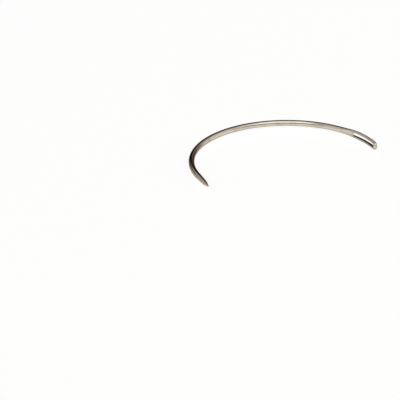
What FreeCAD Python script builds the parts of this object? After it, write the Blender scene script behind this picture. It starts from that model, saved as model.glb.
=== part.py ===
import FreeCAD, Part
import math
import os
import Sketcher
from FreeCAD import Vector

# A curved upholstery needle of round steel wire, all in one piece.
#
# The wire lies flat and follows one circle about the Z axis from the butt to the point. The
# point runs straight on from there and is ground round. The other end is swaged to an oval, with
# a gutter pressed into both of its faces and a long slot punched through between them for the
# twine.
# Distances along the wire are measured on its centre line from the butt, the blunt end behind
# the eye. All lengths are in millimetres and all angles in degrees.

# Driving dimensions: name, value, meaning
SIZES = [
    ("needle_length", 101.6, "length along the centre line from butt to tip"),
    ("curve_radius", 29.6, "radius of the circle that the centre line follows"),
    ("butt_angle", 22.4, "where the butt lies on that circle, counted from +X"),
    ("wire_diameter", 1.8, "diameter of the round wire"),
    ("point_length", 8.54, "length of the straight point, all of it tapered"),
    ("nose_length", 4.1, "length over which the point is rounded down to its tip"),
    ("nose_diameter", 1.47, "diameter of the point where this rounding starts"),
    ("tip_diameter", 0.12, "diameter of the rounded tip"),
    ("eye_width", 2.58, "width of the swaged eye across the slot"),
    ("eye_thickness", 1.41, "thickness of the swaged eye through the slot"),
    ("oval_split", 50.0, "angle from the eye's width at which its sides pass into its faces"),
    ("eye_turn", 5.0, "how far the slot's axis is turned up out of the plane of the curve"),
    ("eye_length", 9.8, "distance from the butt over which the eye has its full width"),
    ("swage_length", 7.8, "length over which the eye narrows back to round wire"),
    ("butt_bridge", 1.35, "metal left between the slot and the butt"),
    ("slot_width", 1.12, "width of the slot"),
    ("slot_length", 11.2, "length of the slot over its round ends"),
    ("rim_round", 0.07, "radius of the rounding along the slot's rims"),
    ("gutter_diameter", 2.2, "diameter of the round bottom of the gutters"),
    ("gutter_depth", 0.37, "depth of the gutters in the middle of the eye"),
    ("gutter_length", 6.8, "length of the gutters beyond the slot, on the shank"),
    ("gutter_runout", 0.9, "length of the gutters beyond the slot, at the butt"),
    ("gutter_lift", 0.05, "height above the metal at which the gutter die ends"),
]

# How far from the slot's outline, seen along its axis, an edge of its rims may lie
RIM_TOLERANCE = 0.01

# Steps of the sections that shape the swage and the gutters
SWAGE_STEPS = 5
LEAD_STEPS = 4
RUNOUT_STEPS = 3

# Places along the wire, as distances from the butt
BUTT_CENTRE = "(sizes.eye_width / 2)"
SWAGE_END = "(sizes.eye_length + sizes.swage_length)"
POINT_START = "(sizes.needle_length - sizes.point_length)"
SLOT_NEAR = "sizes.butt_bridge"
SLOT_FAR = "(sizes.butt_bridge + sizes.slot_length)"
GUTTER_FAR = f"({SLOT_FAR} + sizes.gutter_length)"
GUTTER_NEAR = "(sizes.butt_bridge - sizes.gutter_runout)"


def make_sheet(doc):
    """Put the driving dimensions into a spreadsheet, one named cell each."""
    sheet = doc.addObject("Spreadsheet::Sheet", "sizes")
    for row, (alias, value, meaning) in enumerate(SIZES, start=1):
        sheet.set(f"A{row}", meaning)
        sheet.set(f"B{row}", str(value))
        sheet.setAlias(f"B{row}", alias)
    doc.recompute()
    return sheet


def origin_feature(body, role):
    """Find one of a body's own origin planes or axes."""
    return next(item for item in body.Origin.OriginFeatures if item.Role == role)


def ease(share):
    """Expression that runs smoothly from 0 to 1 as share does."""
    return f"((1 - cos(180deg * ({share}))) / 2)"


def turned(distance):
    """Expression for the angle about the curve's centre that a distance along the wire takes."""
    return f"(({distance}) / sizes.curve_radius * 180deg / pi)"


def swage_size(eye_size, distance):
    """Expression for a width or thickness on its way from the eye's to the wire's diameter."""
    share = f"max(0; min(1; (({distance}) - sizes.eye_length) / sizes.swage_length))"
    return f"(sizes.{eye_size} + (sizes.wire_diameter - sizes.{eye_size}) * {ease(share)})"


def curve_sketch(body, name, start, end):
    """Sketch the stretch of the centre line between two distances from the butt."""
    sketch = body.newObject("Sketcher::SketchObject", name)
    sketch.AttachmentSupport = [(origin_feature(body, "XY_Plane"), "")]
    sketch.MapMode = "FlatFace"
    start_angle = f"(sizes.butt_angle * 1deg + {turned(start)})"
    sketch.setExpression("AttachmentOffset", f"placement(vector(0; 0; 0); rotationz({start_angle}))")
    sketch.addGeometry(Part.ArcOfCircle(Part.Circle(Vector(0, 0, 0), Vector(0, 0, 1), 30), 0, 0.3))
    sketch.addConstraint(Sketcher.Constraint("Coincident", 0, 3, -1, 1))
    sketch.addConstraint(Sketcher.Constraint("PointOnObject", 0, 1, -1))
    radius = sketch.addConstraint(Sketcher.Constraint("Radius", 0, 30))
    sketch.setExpression(f"Constraints[{radius}]", "sizes.curve_radius")
    sweep = sketch.addConstraint(Sketcher.Constraint("Angle", 0, 0.3))
    sketch.setExpression(f"Constraints[{sweep}]", turned(f"{end} - {start}"))
    return sketch


def section_sketch(body, name, distance):
    """Stand an empty sketch square across the wire at a distance from the butt.

    Its x axis runs across the slot and its y axis through the slot, out of the inside of the
    curve.
    """
    sketch = body.newObject("Sketcher::SketchObject", name)
    sketch.AttachmentSupport = [(origin_feature(body, "XY_Plane"), "")]
    sketch.MapMode = "FlatFace"
    angle = f"(sizes.butt_angle * 1deg + {turned(distance)})"
    place = f"vector(sizes.curve_radius * cos({angle}); sizes.curve_radius * sin({angle}); 0)"
    turn = f"rotationz({angle}) * rotationx(90deg) * rotationz((90 - sizes.eye_turn) * 1deg)"
    sketch.setExpression("AttachmentOffset", f"placement({place}; {turn})")
    return sketch


def round_section(body, name, distance, diameter, offset=None):
    """Sketch a circle across the wire, centred on it or at an offset through the slot."""
    sketch = section_sketch(body, name, distance)
    centre = Vector(0, 0, 0) if offset is None else Vector(0, offset[0], 0)
    sketch.addGeometry(Part.Circle(centre, Vector(0, 0, 1), 1))
    size = sketch.addConstraint(Sketcher.Constraint("Diameter", 0, 2))
    sketch.setExpression(f"Constraints[{size}]", diameter)
    if offset is None:
        sketch.addConstraint(Sketcher.Constraint("Coincident", 0, 3, -1, 1))
    else:
        side, height = offset
        ends = (-1, 1, 0, 3) if side > 0 else (0, 3, -1, 1)
        sketch.addConstraint(Sketcher.Constraint("PointOnObject", 0, 3, -2))
        gap = sketch.addConstraint(Sketcher.Constraint("DistanceY", *ends, 1))
        sketch.setExpression(f"Constraints[{gap}]", height)
    return sketch


def oval_radii(width, thickness):
    """Expressions for the radii of an oval of four arcs: of its sides and of its faces."""
    cos, sin = "cos(sizes.oval_split * 1deg)", "sin(sizes.oval_split * 1deg)"
    side = f"(({thickness}) * {cos} - ({width}) * (1 - {sin})) / 2 / ({cos} + {sin} - 1)"
    face = f"(({width}) * {sin} - ({thickness}) * (1 - {cos})) / 2 / ({cos} + {sin} - 1)"
    return side, face


def arc(start, end):
    """Arc of a circle about the origin between two angles in degrees."""
    circle = Part.Circle(Vector(0, 0, 0), Vector(0, 0, 1), 1)
    return Part.ArcOfCircle(circle, math.radians(start), math.radians(end))


def size_arcs(sketch, width, thickness):
    """Give an oval's side, its first arc, and its face, the second, their radii and joint."""
    side, face = oval_radii(width, thickness)
    cos, sin = math.cos(math.radians(50)), math.sin(math.radians(50))
    sizes = [
        (("Radius", 0, 1), side),
        (("Radius", 1, 1), face),
        (("DistanceX", -1, 1, 0, 2, cos), f"({face}) * cos(sizes.oval_split * 1deg)"),
        (("DistanceY", -1, 1, 0, 2, sin), f"({side}) * sin(sizes.oval_split * 1deg)"),
    ]
    for constraint, value in sizes:
        size = sketch.addConstraint(Sketcher.Constraint(*constraint))
        sketch.setExpression(f"Constraints[{size}]", value)
    settle(sketch)


def settle(sketch):
    """Solve a sketch a few times over, because one large step ends a little off its sizes."""
    for _ in range(3):
        sketch.touch()
        sketch.Document.recompute()


def oval_section(body, name, distance, width, thickness):
    """Sketch an oval of four arcs across the wire, with its width across the slot."""
    sketch = section_sketch(body, name, distance)
    for start in (-50, 50, 130, 230):
        sketch.addGeometry(arc(start, start + (100 if start in (-50, 130) else 80)))
    for number in range(4):
        sketch.addConstraint(Sketcher.Constraint("Coincident", number, 2, (number + 1) % 4, 1))
    sketch.addConstraint(Sketcher.Constraint("Symmetric", 0, 1, 0, 2, -1))
    sketch.addConstraint(Sketcher.Constraint("Symmetric", 2, 1, 2, 2, -1))
    sketch.addConstraint(Sketcher.Constraint("Symmetric", 0, 2, 2, 1, -2))
    sketch.addConstraint(Sketcher.Constraint("Equal", 0, 2))
    sketch.addConstraint(Sketcher.Constraint("Equal", 1, 3))
    size_arcs(sketch, width, thickness)
    return sketch


def half_oval_section(body, name, distance, width, thickness):
    """Sketch the half of such an oval on one side of the slot's axis."""
    sketch = section_sketch(body, name, distance)
    for start, end in ((-50, 50), (50, 90), (270, 310)):
        sketch.addGeometry(arc(start, end))
    sketch.addGeometry(Part.LineSegment(Vector(0, 1, 0), Vector(0, -1, 0)))
    for one, other in ((0, 1), (1, 3), (3, 2), (2, 0)):
        sketch.addConstraint(Sketcher.Constraint("Coincident", one, 2, other, 1))
    sketch.addConstraint(Sketcher.Constraint("Symmetric", 0, 1, 0, 2, -1))
    sketch.addConstraint(Sketcher.Constraint("Equal", 1, 2))
    for number, point in ((1, 2), (1, 3), (2, 1), (2, 3)):
        sketch.addConstraint(Sketcher.Constraint("PointOnObject", number, point, -2))
    size_arcs(sketch, width, thickness)
    return sketch


def slot_section(body, name, distance, whole):
    """Sketch the slot's section, or the half of it on one side of the slot's axis."""
    sketch = section_sketch(body, name, distance)
    left = -0.5 if whole else 0.0
    corners = [Vector(left, -1, 0), Vector(0.5, -1, 0), Vector(0.5, 1, 0), Vector(left, 1, 0)]
    for number in range(4):
        sketch.addGeometry(Part.LineSegment(corners[number], corners[(number + 1) % 4]))
    for number in range(4):
        sketch.addConstraint(Sketcher.Constraint("Coincident", number, 2, (number + 1) % 4, 1))
    sketch.addConstraint(Sketcher.Constraint("Horizontal", 0))
    sketch.addConstraint(Sketcher.Constraint("Horizontal", 2))
    sketch.addConstraint(Sketcher.Constraint("Vertical", 1))
    sketch.addConstraint(Sketcher.Constraint("Vertical", 3))
    if whole:
        sketch.addConstraint(Sketcher.Constraint("Symmetric", 0, 1, 1, 2, -1, 1))
    else:
        sketch.addConstraint(Sketcher.Constraint("Symmetric", 0, 1, 2, 2, -1, 1))
    across = sketch.addConstraint(Sketcher.Constraint("DistanceX", 0, 1, 0, 2, 0.5 - left))
    sketch.setExpression(f"Constraints[{across}]", "sizes.slot_width" + ("" if whole else " / 2"))
    through = sketch.addConstraint(Sketcher.Constraint("DistanceY", 1, 1, 1, 2, 2))
    sketch.setExpression(f"Constraints[{through}]", "2 * sizes.wire_diameter")
    return sketch


def revolve(body, kind, name, sketch, axis, angle):
    """Turn a sketch about an axis, to add (Revolution) or remove (Groove) metal."""
    feature = body.newObject(f"PartDesign::{kind}", name)
    feature.Profile = (sketch, [])
    feature.ReferenceAxis = axis
    feature.setExpression("Angle", angle)
    return feature


def sweep(body, kind, name, spine, sections):
    """Run a row of sections along a stretch of the centre line, to add or remove metal."""
    feature = body.newObject(f"PartDesign::{kind}", name)
    feature.Profile = (sections[0], [])
    feature.Spine = (spine, ["Edge1"])
    feature.Mode = "Frenet"
    feature.Transformation = "Multisection"
    feature.Sections = [(section, [""]) for section in sections[1:]]
    return feature


def add_wire(body):
    """The round wire between the swage and the point."""
    section = round_section(body, "wire_section", SWAGE_END, "sizes.wire_diameter")
    axis = (origin_feature(body, "Z_Axis"), [""])
    revolve(body, "Revolution", "wire", section, axis, turned(f"{POINT_START} - {SWAGE_END}"))


def add_point(body):
    """The ground point: a slender cone, a long round nose that meets it smoothly, and the tip."""
    sketch = body.newObject("Sketcher::SketchObject", "point_section")
    sketch.AttachmentSupport = [(origin_feature(body, "XY_Plane"), "")]
    sketch.MapMode = "FlatFace"
    angle = f"(sizes.butt_angle * 1deg + {turned(POINT_START)})"
    place = f"vector(sizes.curve_radius * cos({angle}); sizes.curve_radius * sin({angle}); 0)"
    sketch.setExpression("AttachmentOffset", f"placement({place}; rotationz({angle} + 90deg))")

    middle = Vector(0, 0, 0)
    tip, start = Vector(8.54, 0, 0), Vector(0, 0.9, 0)
    joint, lean = Vector(4.44, 0.735, 0), Vector(8.5, 0.056, 0)
    sketch.addGeometry(Part.LineSegment(middle, tip))
    sketch.addGeometry(Part.LineSegment(middle, start))
    sketch.addGeometry(Part.LineSegment(start, joint))
    sketch.addGeometry(Part.Arc(lean, Vector(6.6, 0.52, 0), joint))
    sketch.addGeometry(Part.Arc(tip, Vector(8.522, 0.042, 0), lean))
    sketch.addConstraint(Sketcher.Constraint("Coincident", 0, 1, -1, 1))
    sketch.addConstraint(Sketcher.Constraint("PointOnObject", 0, 2, -1))
    sketch.addConstraint(Sketcher.Constraint("Coincident", 1, 1, 0, 1))
    sketch.addConstraint(Sketcher.Constraint("PointOnObject", 1, 2, -2))
    sketch.addConstraint(Sketcher.Constraint("Coincident", 2, 1, 1, 2))
    sketch.addConstraint(Sketcher.Constraint("Tangent", 2, 2, 3, 2))
    sketch.addConstraint(Sketcher.Constraint("Tangent", 3, 1, 4, 2))
    sketch.addConstraint(Sketcher.Constraint("Coincident", 4, 1, 0, 2))
    sketch.addConstraint(Sketcher.Constraint("PointOnObject", 4, 3, -1))
    lengths = [
        (("DistanceX", 0, 1, 0, 2, 8.54), "sizes.point_length"),
        (("DistanceY", 1, 1, 1, 2, 0.9), "sizes.wire_diameter / 2"),
        (("DistanceX", 2, 2, 0, 2, 4.1), "sizes.nose_length"),
        (("DistanceY", 0, 1, 2, 2, 0.735), "sizes.nose_diameter / 2"),
        (("Radius", 4, 0.06), "sizes.tip_diameter / 2"),
    ]
    for constraint, value in lengths:
        size = sketch.addConstraint(Sketcher.Constraint(*constraint))
        sketch.setExpression(f"Constraints[{size}]", value)
    revolve(body, "Revolution", "point", sketch, (sketch, ["H_Axis"]), "360")


def add_swage(body):
    """The stretch where the round wire is pressed out to the eye's oval."""
    sections = []
    for step in range(SWAGE_STEPS):
        distance = f"(sizes.eye_length + sizes.swage_length * {step / SWAGE_STEPS:.6g})"
        width = swage_size("eye_width", distance)
        thickness = swage_size("eye_thickness", distance)
        sections.append(oval_section(body, f"swage_section_{step}", distance, width, thickness))
    diameter = "sizes.wire_diameter"
    sections.append(oval_section(body, "swage_section_round", SWAGE_END, diameter, diameter))
    spine = curve_sketch(body, "swage_line", "sizes.eye_length", SWAGE_END)
    sweep(body, "AdditivePipe", "swage", spine, sections)


def add_eye(body):
    """The oval stretch of full width that holds the slot, closed by a round butt."""
    sizes = ("sizes.eye_width", "sizes.eye_thickness")
    section = oval_section(body, "eye_section", BUTT_CENTRE, *sizes)
    axis = (origin_feature(body, "Z_Axis"), [""])
    revolve(body, "Revolution", "eye", section, axis, turned(f"sizes.eye_length - {BUTT_CENTRE}"))

    half = half_oval_section(body, "butt_section", BUTT_CENTRE, *sizes)
    butt = revolve(body, "Revolution", "butt", half, (half, ["V_Axis"]), "180")
    butt.Reversed = True


def die_section(body, name, side, distance, lifted):
    """The round edge of the gutter die on one face, lifted by a share of its way out."""
    low = "(sizes.eye_thickness / 2 - sizes.gutter_depth)"
    high = f"({swage_size('eye_thickness', distance)} / 2 + sizes.gutter_lift)"
    height = f"{low} + ({high} - {low}) * {ease(lifted)} + sizes.gutter_diameter / 2"
    return round_section(body, name, distance, "sizes.gutter_diameter", (side, height))


def cut_gutter(body, face, side):
    """Press the gutter into one face: level along the slot, and running out beyond its ends."""
    level = die_section(body, f"{face}_level_section", side, SLOT_NEAR, 0)
    axis = (origin_feature(body, "Z_Axis"), [""])
    revolve(body, "Groove", f"{face}_level", level, axis, turned("sizes.slot_length"))

    lead = []
    for step in range(LEAD_STEPS + 1):
        share = step / LEAD_STEPS
        distance = f"({SLOT_FAR} + sizes.gutter_length * {share:.6g})"
        lead.append(die_section(body, f"{face}_lead_section_{step}", side, distance, share))
    spine = curve_sketch(body, f"{face}_lead_line", SLOT_FAR, GUTTER_FAR)
    sweep(body, "SubtractivePipe", f"{face}_lead", spine, lead)

    runout = []
    for step in range(RUNOUT_STEPS + 1):
        share = step / RUNOUT_STEPS
        distance = f"({GUTTER_NEAR} + sizes.gutter_runout * {share:.6g})"
        runout.append(die_section(body, f"{face}_runout_section_{step}", side, distance, 1 - share))
    spine = curve_sketch(body, f"{face}_runout_line", GUTTER_NEAR, SLOT_NEAR)
    sweep(body, "SubtractivePipe", f"{face}_runout", spine, runout)


def cut_slot(body):
    """Punch the slot along the curve, with a half-round end at either end."""
    near = f"({SLOT_NEAR} + sizes.slot_width / 2)"
    far = f"({SLOT_FAR} - sizes.slot_width / 2)"
    section = slot_section(body, "slot_section", near, True)
    axis = (origin_feature(body, "Z_Axis"), [""])
    revolve(body, "Groove", "slot", section, axis, turned(f"{far} - {near}"))
    for name, distance in (("near", near), ("far", far)):
        half = slot_section(body, f"slot_{name}_section", distance, False)
        end = revolve(body, "Groove", f"slot_{name}_end", half, (half, ["V_Axis"]), "180")
        end.Reversed = name == "near"


def is_slot_rim(edge, size):
    """Tell whether an edge runs round the slot where its wall meets a face of the eye."""
    if edge.Degenerated or isinstance(edge.Curve, Part.Line):
        return False
    near = size.butt_bridge + size.slot_width / 2
    far = size.butt_bridge + size.slot_length - size.slot_width / 2
    turn = math.radians(size.eye_turn)
    for point in edge.discretize(5):
        angle = math.atan2(point.y, point.x) - math.radians(size.butt_angle)
        along = angle * size.curve_radius
        outward = math.hypot(point.x, point.y) - size.curve_radius
        across = outward * math.sin(turn) + point.z * math.cos(turn)
        beyond = max(near - along, 0, along - far)
        if abs(math.hypot(beyond, across) - size.slot_width / 2) > RIM_TOLERANCE:
            return False
    return True


def round_rims(body, sheet):
    """Round the rims of the slot, so that they don't cut the twine."""
    body.Document.recompute()
    slot = body.Tip
    rims = [number for number, edge in enumerate(slot.Shape.Edges, start=1) if is_slot_rim(edge, sheet)]
    rounding = body.newObject("PartDesign::Fillet", "slot_rims")
    rounding.Base = (slot, [f"Edge{number}" for number in rims])
    rounding.setExpression("Radius", "sizes.rim_round")


def make_needle(doc, sheet):
    """Build the needle and stand its lowest point at the middle of its outline on the origin."""
    needle = doc.addObject("PartDesign::Body", "needle")
    needle.Label = "needle"
    add_wire(needle)
    add_point(needle)
    add_swage(needle)
    add_eye(needle)
    cut_gutter(needle, "inner", 1)
    cut_gutter(needle, "outer", -1)
    cut_slot(needle)
    round_rims(needle, sheet)
    doc.recompute()
    box = needle.Shape.optimalBoundingBox(False, False)
    needle.Placement.Base = Vector(-box.Center.x, -box.Center.y, -box.ZMin)
    doc.recompute()
    return needle


def check(doc, parts):
    """Stop if any feature failed, or if a part isn't one valid solid."""
    for item in doc.Objects:
        if "Invalid" in item.State or "Error" in item.State:
            raise RuntimeError(f"{item.Name} failed: {item.State}")
    for part in parts:
        shape = part.Shape
        if shape.isNull() or not shape.isValid() or len(shape.Solids) != 1:
            raise RuntimeError(f"{part.Label} isn't one valid solid")


def main():
    doc = FreeCAD.newDocument("upholstery_needle")
    sheet = make_sheet(doc)
    parts = [make_needle(doc, sheet)]
    check(doc, parts)
    os.makedirs("parts", exist_ok=True)
    for part in parts:
        part.Shape.exportStep(f"parts/{part.Label}.step")
        box = part.Shape.optimalBoundingBox(False, False)
        print(part.Label, "volume", round(part.Shape.Volume, 3), "mm3, box", box)


main()
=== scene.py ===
import math

import bmesh
import bpy
import numpy as np
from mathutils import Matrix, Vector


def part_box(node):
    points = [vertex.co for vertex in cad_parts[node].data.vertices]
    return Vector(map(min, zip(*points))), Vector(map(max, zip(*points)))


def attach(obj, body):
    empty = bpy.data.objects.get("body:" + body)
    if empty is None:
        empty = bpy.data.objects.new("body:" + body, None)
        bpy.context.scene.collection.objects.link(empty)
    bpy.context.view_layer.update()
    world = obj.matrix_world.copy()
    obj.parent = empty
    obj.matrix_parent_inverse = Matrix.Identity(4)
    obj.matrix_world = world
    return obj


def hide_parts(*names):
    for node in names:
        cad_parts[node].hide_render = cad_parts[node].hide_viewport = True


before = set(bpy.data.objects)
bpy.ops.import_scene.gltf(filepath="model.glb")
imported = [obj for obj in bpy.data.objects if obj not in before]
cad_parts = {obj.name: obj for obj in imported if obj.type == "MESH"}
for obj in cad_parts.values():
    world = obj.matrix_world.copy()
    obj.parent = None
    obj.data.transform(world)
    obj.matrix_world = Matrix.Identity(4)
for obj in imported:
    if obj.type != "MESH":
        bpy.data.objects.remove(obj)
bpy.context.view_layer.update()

# A curved upholstery needle of nickel-plated steel, lying on a white floor.
#
# The needle is one mesh. A place on it is given by the distance along the wire from the butt, the
# distance across the slot and the height through the slot, all three in millimetres.

MM = 0.001

# The wire, its curve and its point, in millimetres and degrees
NEEDLE_LENGTH = 101.6
CURVE_RADIUS = 29.6
BUTT_ANGLE = 22.4
WIRE_DIAMETER = 1.8
POINT_LENGTH = 8.54
NOSE_LENGTH = 4.1
NOSE_DIAMETER = 1.47
TIP_DIAMETER = 0.12

# The swaged eye, its slot and its gutters
EYE_WIDTH = 2.58
EYE_THICKNESS = 1.41
EYE_TURN = 5.0
EYE_LENGTH = 9.8
SWAGE_LENGTH = 7.8
OVAL_SPLIT = 50.0
BUTT_BRIDGE = 1.35
SLOT_WIDTH = 1.12
SLOT_LENGTH = 11.2
RIM_ROUND = 0.07
GUTTER_DIAMETER = 2.2
GUTTER_DEPTH = 0.37
GUTTER_LENGTH = 6.8
GUTTER_RUNOUT = 0.9
GUTTER_LIFT = 0.05
RIDGE_ROUND = 0.05

SLOT_FAR = BUTT_BRIDGE + SLOT_LENGTH
SWAGE_END = EYE_LENGTH + SWAGE_LENGTH
POINT_START = NEEDLE_LENGTH - POINT_LENGTH
NOSE_START = NEEDLE_LENGTH - NOSE_LENGTH
TIP_CENTRE = NEEDLE_LENGTH - TIP_DIAMETER / 2

# Columns of the mesh from the wire's side to its middle, and rows down the wall of the slot
HALF_COLUMNS = 22
WALL_ROWS = 8

# Rows along the wire: how many where they close up, and about how far apart they are elsewhere
BUTT_ROWS = 14
SLOT_END_ROWS = 14
LEAD_ROWS = 12
TIP_ROWS = 6
EYE_SPACING = 0.18
SHANK_SPACING = 0.4
POINT_SPACING = 0.12

# Half width below which a row of the mesh is a single point
CLOSED = 1e-6

# The photograph: its size and the place of the curve's centre in it, in pixels, its scale, how far
# down it looks, in degrees, and its lens and sensor, in millimetres
PHOTO_SIZE = 400
CURVE_CENTRE_PIXEL = (287.69, 161.43)
PIXELS_PER_MM = 3.249
VIEW_ELEVATION = 24.04
LENS = 600.0
SENSOR = 36.0

# The plating: colours where it is clean, where it is dull and in its specks, and the tint at
# glancing angles
CLEAN_NICKEL = (0.61, 0.538, 0.465, 1)
DULL_NICKEL = (0.46, 0.405, 0.340, 1)
SPECK_COLOUR = (0.28, 0.235, 0.185, 1)
GLANCING_TINT = (0.26, 0.21, 0.15, 1)

# Marks, dull clouds and specks: about how many there are in a millimetre. The marks are drawn out
# along the wire by the squeeze, and their depth is in millimetres.
MARKS_PER_MM = 9.0
CLOUDS_PER_MM = 0.35
SPECKS_PER_MM = 6.0
MARK_SQUEEZE = (0.12, 1.0, 1.0)
MARK_DEPTH = 0.004
MARK_STRENGTH = 0.25

# The floor: its width in metres, its own grey and gloss, and the white that is added to it
FLOOR_WIDTH = 4.0
FLOOR_COLOUR = (0.21, 0.21, 0.21, 1)
FLOOR_ROUGHNESS = 0.3
FLOOR_ADDED_WHITE = 0.84
WHITE = (1, 1, 1, 1)

# The room: the level of light in each part, and the bounds between which the part begins or ends.
# They are values of the Y part (back) or the Z part (height) of the direction looked in.
ROOM_LEVEL = 0.70
LOW_FRONT_LEVEL = 0.04
LOW_FRONT_BACK = (-0.62, -0.36)
LOW_FRONT_HEIGHT = (0.22, 0.46)
FAR_SIDE_LEVEL = 0.015
FAR_SIDE_BACK = (0.02, 0.80)
LOW_WALL_LEVEL = 0.005
LOW_WALL_BACK = (0.44, 0.62)
LOW_WALL_HEIGHT = (0.12, 0.40)

# Soft round panels of the room: azimuth and elevation, the angle from the middle at which each
# starts to fade and the one at which it ends, all in degrees, and its level
PANELS = [
    (48, 44, 12, 28, 1.20),
    (4, 52, 25, 33, 1.64),
    (152, 26, 8, 28, 0.24),
    (98, 10, 22, 52, 0.95),
    (-125, 26, 12, 38, 0.58),
    (-58, 12, 12, 32, 0.84),
]

# The light is warm where it is dim and white where it is bright, between these levels
WARM_LIGHT = (1.0, 0.965, 0.935, 1)
WHITE_LIGHT = (0.99, 1.0, 0.98, 1)
WARM_TO_WHITE = (0.8, 1.5)


def ease(share):
    """Run smoothly from 0 to 1 as share does."""
    return (1 - np.cos(np.pi * np.clip(share, 0, 1))) / 2


def half_sizes(along):
    """Half the width across the slot and half the thickness through it, square to the wire."""
    widening = 1 - ease((along - EYE_LENGTH) / SWAGE_LENGTH)
    wide = (WIRE_DIAMETER + (EYE_WIDTH - WIRE_DIAMETER) * widening) / 2
    thick = (WIRE_DIAMETER + (EYE_THICKNESS - WIRE_DIAMETER) * widening) / 2
    if along > POINT_START:
        wide = thick = point_half_width(along)
    return wide, thick


def point_half_width(along):
    """Half the point's width: a slender cone, then a long arc from it to the round tip."""
    slope = (WIRE_DIAMETER - NOSE_DIAMETER) / 2 / (NOSE_START - POINT_START)
    if along < NOSE_START:
        return WIRE_DIAMETER / 2 - slope * (along - POINT_START)
    tip = TIP_DIAMETER / 2
    cos, sin = math.cos(math.atan(slope)), math.sin(math.atan(slope))
    back = TIP_CENTRE - NOSE_START
    lean = NOSE_DIAMETER / 2 * cos - back * sin - tip
    radius = (back ** 2 + (NOSE_DIAMETER / 2) ** 2 - tip ** 2) / (2 * lean)
    height = NOSE_DIAMETER / 2 - radius * cos
    beyond = along - NOSE_START + radius * sin
    return height + math.sqrt(radius ** 2 - beyond ** 2)


def oval_height(across, wide, thick):
    """Height of an oval of four arcs over its long axis, at distances across it."""
    cos, sin = math.cos(math.radians(OVAL_SPLIT)), math.sin(math.radians(OVAL_SPLIT))
    face_radius = (wide * sin - thick * (1 - cos)) / (cos + sin - 1)
    side_radius = (thick * cos - wide * (1 - sin)) / (cos + sin - 1)
    side_centre = (face_radius - side_radius) * cos
    drop = (face_radius - side_radius) * sin
    across = np.abs(across)
    face = np.sqrt(np.maximum(face_radius ** 2 - across ** 2, 0)) - drop
    side = np.sqrt(np.maximum(side_radius ** 2 - (across - side_centre) ** 2, 0))
    return np.where(across < face_radius * cos, face, side)


def gutter_height(along, across):
    """Height of the gutter's round bottom, which runs out beyond both ends of the slot."""
    low = EYE_THICKNESS / 2 - GUTTER_DEPTH
    high = half_sizes(along)[1] + GUTTER_LIFT
    beyond = max((along - SLOT_FAR) / GUTTER_LENGTH, (BUTT_BRIDGE - along) / GUTTER_RUNOUT)
    radius = GUTTER_DIAMETER / 2
    middle = low + (high - low) * ease(beyond) + radius
    inside = np.maximum(radius ** 2 - across ** 2, 0)
    return middle - np.sqrt(inside)


def soft_minimum(one, other):
    """The lower of two heights, rounded where they cross."""
    overlap = np.maximum(RIDGE_ROUND - np.abs(one - other), 0) / RIDGE_ROUND
    return np.minimum(one, other) - overlap ** 2 * RIDGE_ROUND / 4


def slot_distance(along, across):
    """Distance from the slot's outline, seen through the slot."""
    radius = SLOT_WIDTH / 2
    beyond = max(BUTT_BRIDGE + radius - along, 0, along - (SLOT_FAR - radius))
    return np.hypot(beyond, across) - radius


def outline_half_width(along):
    """Half the width that shows at a distance along the wire, with both ends closed."""
    wide, thick = half_sizes(min(along, TIP_CENTRE))
    ends = max(wide - along, along - TIP_CENTRE, 0)
    return math.sqrt(max(wide ** 2 - ends ** 2, 0))


def slot_half_width(along):
    """Half the slot's width at a distance along the wire, and 0 beyond its ends."""
    radius = SLOT_WIDTH / 2
    beyond = max(BUTT_BRIDGE + radius - along, 0, along - (SLOT_FAR - radius))
    return math.sqrt(max(radius ** 2 - beyond ** 2, 0))


def face_height(along, across):
    """Height of the needle's face over its middle plane, with gutter and rounded slot rim."""
    wide, thick = half_sizes(min(along, TIP_CENTRE))
    ends = max(wide - along, along - TIP_CENTRE, 0)
    height = oval_height(np.minimum(np.hypot(ends, across), wide), wide, thick)
    if BUTT_BRIDGE - GUTTER_RUNOUT < along < SLOT_FAR + GUTTER_LENGTH:
        height = soft_minimum(height, gutter_height(along, across))
    inside = np.clip(RIM_ROUND - slot_distance(along, across), 0, RIM_ROUND)
    return height - (RIM_ROUND - np.sqrt(RIM_ROUND ** 2 - inside ** 2))


def rounded_steps(count, length):
    """Distances from 0 to length that lie close together at 0."""
    return [length * (1 - math.cos(math.pi / 2 * step / count)) for step in range(1, count + 1)]


def even_steps(start, end, spacing):
    """Distances from start, left out, to end, about a spacing apart."""
    count = max(1, round((end - start) / spacing))
    return [start + (end - start) * step / count for step in range(1, count + 1)]


def row_distances():
    """Distances along the wire of the mesh's rows, from the butt to the tip.

    They lie close together at the butt, at the tip and on both sides of each end of the slot: the
    lead is how far they do so on the solid side.
    """
    round_end = SLOT_WIDTH / 2
    lead = EYE_WIDTH / 4
    rows = [0.0]
    rows += rounded_steps(BUTT_ROWS, BUTT_BRIDGE - lead)
    rows += [BUTT_BRIDGE - step for step in reversed(rounded_steps(LEAD_ROWS, lead)[:-1])]
    rows += [BUTT_BRIDGE]
    rows += [BUTT_BRIDGE + step for step in rounded_steps(SLOT_END_ROWS, round_end)]
    rows += even_steps(BUTT_BRIDGE + round_end, SLOT_FAR - round_end, EYE_SPACING)
    rows += [SLOT_FAR - step for step in reversed(rounded_steps(SLOT_END_ROWS, round_end)[:-1])]
    rows += [SLOT_FAR]
    rows += [SLOT_FAR + step for step in rounded_steps(LEAD_ROWS, lead)]
    rows += even_steps(SLOT_FAR + lead, SWAGE_END, EYE_SPACING)
    rows += even_steps(SWAGE_END, POINT_START, SHANK_SPACING)
    rows += even_steps(POINT_START, TIP_CENTRE, POINT_SPACING)
    for step in range(1, TIP_ROWS + 1):
        rows.append(TIP_CENTRE + TIP_DIAMETER / 2 * math.sin(math.pi / 2 * step / TIP_ROWS))
    return rows


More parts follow.
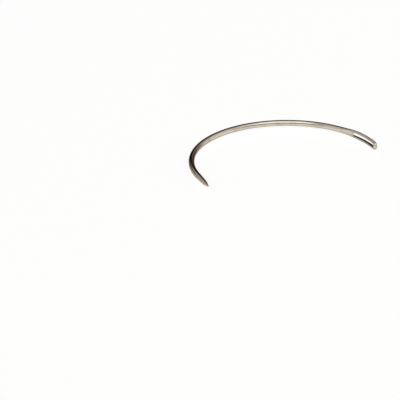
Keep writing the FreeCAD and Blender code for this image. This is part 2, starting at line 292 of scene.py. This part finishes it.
def column_places(along):
    """Distances across the wire of one half's columns, from its side to its middle or the slot."""
    share = np.linspace(0, 1, HALF_COLUMNS + 1)
    at_slot = (1 + np.cos(np.pi * share)) / 2
    on_shank = np.cos(np.pi / 2 * share)
    from_slot = max((along - SLOT_FAR) / GUTTER_LENGTH, (BUTT_BRIDGE - along) / BUTT_BRIDGE)
    mixed = at_slot + (on_shank - at_slot) * ease(from_slot)
    slot = slot_half_width(along)
    return slot + (outline_half_width(along) - slot) * mixed


def place_on_curve(point):
    """Bend a place along, across and through the wire onto its curve about the Z axis."""
    along, across, through = point
    angle = math.radians(BUTT_ANGLE) + min(along, POINT_START) / CURVE_RADIUS
    straight = max(along - POINT_START, 0)
    turn = math.radians(EYE_TURN)
    radius = CURVE_RADIUS + across * math.sin(turn) - through * math.cos(turn)
    height = across * math.cos(turn) + through * math.sin(turn)
    cos, sin = math.cos(angle), math.sin(angle)
    return radius * cos - straight * sin, radius * sin + straight * cos, height


class NeedleMesh:
    """Collects the points and faces of the needle row by row."""

    def __init__(self):
        self.points = []
        self.faces = []

    def add(self, along, across, through):
        self.points.append((along, across, through))
        return len(self.points) - 1

    def add_row(self, along):
        """One row: four chains from a side of the wire to its middle, and the slot's two walls."""
        places = column_places(along)
        heights = face_height(along, places)
        if outline_half_width(along) < CLOSED:
            pole = [self.add(along, 0, 0)] * (HALF_COLUMNS + 1)
            return {"chains": [pole] * 4, "walls": None}
        in_slot = slot_half_width(along) > 0
        at_rim = BUTT_BRIDGE <= along <= SLOT_FAR
        middles = {}
        chains = []
        for side in (1, -1):
            edge = self.add(along, side * places[0], 0)
            for face in (1, -1):
                chain = [edge]
                for column in range(1, HALF_COLUMNS):
                    chain.append(self.add(along, side * places[column], face * heights[column]))
                if in_slot:
                    chain.append(self.add(along, side * places[-1], face * heights[-1]))
                else:
                    if face not in middles:
                        middles[face] = self.add(along, 0, face * heights[-1])
                    chain.append(middles[face])
                chains.append(chain)
        walls = None
        if at_rim:
            walls = []
            levels = [1 - 2 * level / WALL_ROWS for level in range(1, WALL_ROWS)]
            for side, (top, bottom) in ((1, chains[0:2]), (-1, chains[2:4])):
                if walls and not in_slot:
                    walls.append(walls[0])
                    continue
                wall = [self.add(along, side * places[-1], heights[-1] * level) for level in levels]
                walls.append([top[-1]] + wall + [bottom[-1]])
        return {"chains": chains, "walls": walls}

    def join(self, one, other):
        """Faces between two chains of points, side by side."""
        for step in range(len(one) - 1):
            corners = [one[step], one[step + 1], other[step + 1], other[step]]
            kept = [corner for place, corner in enumerate(corners) if corner != corners[place - 1]]
            if len(kept) > 2:
                self.faces.append(kept)

    def build(self):
        """Rows from butt to tip, joined to a closed skin."""
        rows = [self.add_row(along) for along in row_distances()]
        for row, following in zip(rows, rows[1:]):
            for one, other in zip(row["chains"], following["chains"]):
                self.join(one, other)
            if row["walls"] and following["walls"]:
                for one, other in zip(row["walls"], following["walls"]):
                    self.join(one, other)


def make_needle():
    """The needle as one smooth mesh, standing where the frame's solid is."""
    skin = NeedleMesh()
    skin.build()
    places = np.array([place_on_curve(point) for point in skin.points]) * MM
    low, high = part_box("needle")
    middle = (places.min(axis=0) + places.max(axis=0)) / 2
    curve_centre = (
        (low.x + high.x) / 2 - middle[0],
        (low.y + high.y) / 2 - middle[1],
        low.z - places[:, 2].min(),
    )
    places += curve_centre

    mesh = bpy.data.meshes.new("curved_needle")
    mesh.from_pydata(places.tolist(), [], skin.faces)
    attribute = mesh.attributes.new("along_wire", "FLOAT_VECTOR", "POINT")
    attribute.data.foreach_set("vector", np.array(skin.points, dtype=np.float32).ravel())
    working = bmesh.new()
    working.from_mesh(mesh)
    bmesh.ops.recalc_face_normals(working, faces=working.faces)
    working.to_mesh(mesh)
    working.free()
    mesh.polygons.foreach_set("use_smooth", [True] * len(mesh.polygons))
    needle = bpy.data.objects.new("curved_needle", mesh)
    bpy.context.scene.collection.objects.link(needle)
    needle.data.materials.append(nickel_plate())
    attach(needle, "root")
    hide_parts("needle")
    return curve_centre


class Nodes:
    """A short way to write a node tree."""

    def __init__(self, tree):
        self.tree = tree
        tree.nodes.clear()

    def add(self, kind, inputs=None, **settings):
        node = self.tree.nodes.new(kind)
        for name, value in settings.items():
            setattr(node, name, value)
        for socket, value in (inputs or {}).items():
            self.feed(node.inputs[socket], value)
        return node

    def feed(self, socket, value):
        if isinstance(value, bpy.types.NodeSocket):
            self.tree.links.new(value, socket)
        else:
            socket.default_value = value

    def maths(self, operation, *values):
        node = self.add("ShaderNodeMath", operation=operation)
        for place, value in enumerate(values):
            self.feed(node.inputs[place], value)
        return node.outputs[0]

    def blend(self, factor, one, other):
        node = self.add("ShaderNodeMix", data_type="RGBA")
        self.feed(node.inputs["Factor"], factor)
        self.feed(node.inputs[6], one)
        self.feed(node.inputs[7], other)
        return node.outputs[2]

    def mix(self, factor, one, other):
        node = self.add("ShaderNodeMix", data_type="FLOAT")
        for socket, item in zip(node.inputs, (factor, None, one, other)):
            if item is not None:
                self.feed(socket, item)
        return node.outputs[0]

    def rise(self, value, low, high, to_low=0.0, to_high=1.0):
        """Run smoothly from to_low to to_high as value goes from low to high."""
        node = self.add("ShaderNodeMapRange", interpolation_type="SMOOTHSTEP")
        for socket, item in zip(node.inputs, (value, low, high, to_low, to_high)):
            self.feed(socket, item)
        return node.outputs[0]

    def noise(self, place, scale, detail=3.0, roughness=0.5):
        inputs = {"Vector": place, "Scale": scale, "Detail": detail, "Roughness": roughness}
        return self.add("ShaderNodeTexNoise", inputs).outputs["Fac"]


def nickel_plate():
    """Polished nickel plate over drawn steel wire: warm grey, with fine marks along the wire.

    Each rise gives the noise values at which its mark starts and is full, and then its strength.
    """
    material = bpy.data.materials.new("nickel_plated_steel")
    material.use_nodes = True
    nodes = Nodes(material.node_tree)
    place = nodes.add("ShaderNodeAttribute", attribute_name="along_wire").outputs["Vector"]

    squeezed = nodes.add("ShaderNodeVectorMath", {0: place, 1: MARK_SQUEEZE}, operation="MULTIPLY")
    marks = nodes.noise(squeezed.outputs[0], MARKS_PER_MM, detail=4.0, roughness=0.65)
    clouds = nodes.noise(place, CLOUDS_PER_MM, detail=3.0, roughness=0.6)
    specks = nodes.noise(place, SPECKS_PER_MM, detail=2.0, roughness=0.5)

    dullness = nodes.rise(clouds, 0.42, 0.72, to_high=0.8)
    colour = nodes.blend(dullness, CLEAN_NICKEL, DULL_NICKEL)
    speckled = nodes.rise(specks, 0.68, 0.78, to_high=0.5)
    colour = nodes.blend(speckled, colour, SPECK_COLOUR)

    streaky = nodes.rise(marks, 0.3, 0.75, to_low=0.04, to_high=0.11)
    clouded = nodes.rise(clouds, 0.35, 0.7, to_high=0.04)
    bump = nodes.add("ShaderNodeBump", {
        "Strength": MARK_STRENGTH,
        "Distance": MARK_DEPTH * MM,
        "Height": marks,
    })
    shader = nodes.add("ShaderNodeBsdfPrincipled", {
        "Base Color": colour,
        "Metallic": 1.0,
        "Roughness": nodes.maths("ADD", streaky, clouded),
        "Specular Tint": GLANCING_TINT,
        "Normal": bump.outputs["Normal"],
    })
    nodes.add("ShaderNodeOutputMaterial", {"Surface": shader.outputs[0]})
    return material


def direction(azimuth, elevation):
    """Unit vector of a direction: azimuth 0 is toward the camera, and 90 is to its right."""
    azimuth, elevation = math.radians(azimuth), math.radians(elevation)
    flat = math.cos(elevation)
    return math.sin(azimuth) * flat, -math.cos(azimuth) * flat, math.sin(elevation)


def light_studio():
    """A plain soft studio: a grey room with soft panels, dark low down in front and behind."""
    world = bpy.data.worlds.new("studio")
    bpy.context.scene.world = world
    world.use_nodes = True
    nodes = Nodes(world.node_tree)
    toward = nodes.add("ShaderNodeTexCoord").outputs["Generated"]
    parts = nodes.add("ShaderNodeSeparateXYZ", {0: toward}).outputs
    back = parts["Y"]
    height = parts["Z"]

    in_front = nodes.rise(back, *LOW_FRONT_BACK, to_low=1.0, to_high=0.0)
    below = nodes.rise(height, *LOW_FRONT_HEIGHT, to_low=1.0, to_high=0.0)
    low_front = nodes.maths("MULTIPLY", in_front, below)
    level = nodes.rise(low_front, 0.0, 1.0, to_low=ROOM_LEVEL, to_high=LOW_FRONT_LEVEL)
    level = nodes.mix(nodes.rise(back, *FAR_SIDE_BACK), level, FAR_SIDE_LEVEL)

    for azimuth, elevation, full, end, panel_level in PANELS:
        toward_panel = {0: toward, 1: direction(azimuth, elevation)}
        aim = nodes.add("ShaderNodeVectorMath", toward_panel, operation="DOT_PRODUCT").outputs["Value"]
        share = nodes.rise(aim, math.cos(math.radians(end)), math.cos(math.radians(full)))
        level = nodes.mix(share, level, panel_level)

    behind = nodes.rise(back, *LOW_WALL_BACK)
    below = nodes.rise(height, *LOW_WALL_HEIGHT, to_low=1.0, to_high=0.0)
    level = nodes.mix(nodes.maths("MULTIPLY", behind, below), level, LOW_WALL_LEVEL)

    colour = nodes.blend(nodes.rise(level, *WARM_TO_WHITE), WARM_LIGHT, WHITE_LIGHT)
    background = nodes.add("ShaderNodeBackground", {"Color": colour, "Strength": level})
    nodes.add("ShaderNodeOutputWorld", {"Surface": background.outputs[0]})


def white_floor():
    """A grey lit surface that keeps the shadow, with most of its white added for the camera.

    The white is added in the needle's reflections too, but never as light on the needle.
    """
    material = bpy.data.materials.new("floor")
    material.use_nodes = True
    nodes = Nodes(material.node_tree)
    rays = nodes.add("ShaderNodeLightPath").outputs
    mirrored = nodes.maths("MAXIMUM", rays["Is Glossy Ray"], rays["Is Transmission Ray"])
    seen = nodes.maths("MAXIMUM", rays["Is Camera Ray"], mirrored)
    strength = nodes.maths("MULTIPLY", seen, FLOOR_ADDED_WHITE)
    lit = nodes.add("ShaderNodeBsdfPrincipled", {
        "Base Color": FLOOR_COLOUR,
        "Roughness": FLOOR_ROUGHNESS,
    })
    added = nodes.add("ShaderNodeEmission", {"Color": WHITE, "Strength": strength})
    both = nodes.add("ShaderNodeAddShader", {0: lit.outputs[0], 1: added.outputs[0]})
    nodes.add("ShaderNodeOutputMaterial", {"Surface": both.outputs[0]})
    return material


def lay_floor():
    """A plain floor, white to the camera and in the needle's reflections."""
    half = FLOOR_WIDTH / 2
    corners = [(-half, -half, 0), (half, -half, 0), (half, half, 0), (-half, half, 0)]
    mesh = bpy.data.meshes.new("floor")
    mesh.from_pydata(corners, [], [(0, 1, 2, 3)])
    mesh.materials.append(white_floor())
    floor = bpy.data.objects.new("floor", mesh)
    bpy.context.scene.collection.objects.link(floor)


def place_camera(curve_centre):
    """Look along +Y and down, with the curve's centre at its place in the photograph."""
    focal = LENS / SENSOR * PHOTO_SIZE
    right = CURVE_CENTRE_PIXEL[0] - PHOTO_SIZE / 2
    up = PHOTO_SIZE / 2 - CURVE_CENTRE_PIXEL[1]
    elevation = math.radians(VIEW_ELEVATION)
    distance = focal / PIXELS_PER_MM * MM
    reach = math.sqrt(right ** 2 + up ** 2 + focal ** 2)
    pitch = -math.asin(reach * math.sin(elevation) / math.hypot(up, focal)) - math.atan2(up, focal)
    yaw = math.atan2(right, focal * math.cos(pitch) - up * math.sin(pitch))

    camera = bpy.data.objects.new("camera", bpy.data.cameras.new("camera"))
    bpy.context.scene.collection.objects.link(camera)
    camera.data.lens = LENS
    camera.data.sensor_width = SENSOR
    camera.data.clip_start = 0.01
    camera.location = (
        curve_centre[0],
        curve_centre[1] - distance * math.cos(elevation),
        curve_centre[2] + distance * math.sin(elevation),
    )
    camera.rotation_euler = (math.pi / 2 + pitch, 0, yaw)
    bpy.context.scene.camera = camera


def main():
    bpy.context.scene.view_settings.view_transform = "Standard"
    curve_centre = make_needle()
    lay_floor()
    light_studio()
    place_camera(curve_centre)


main()
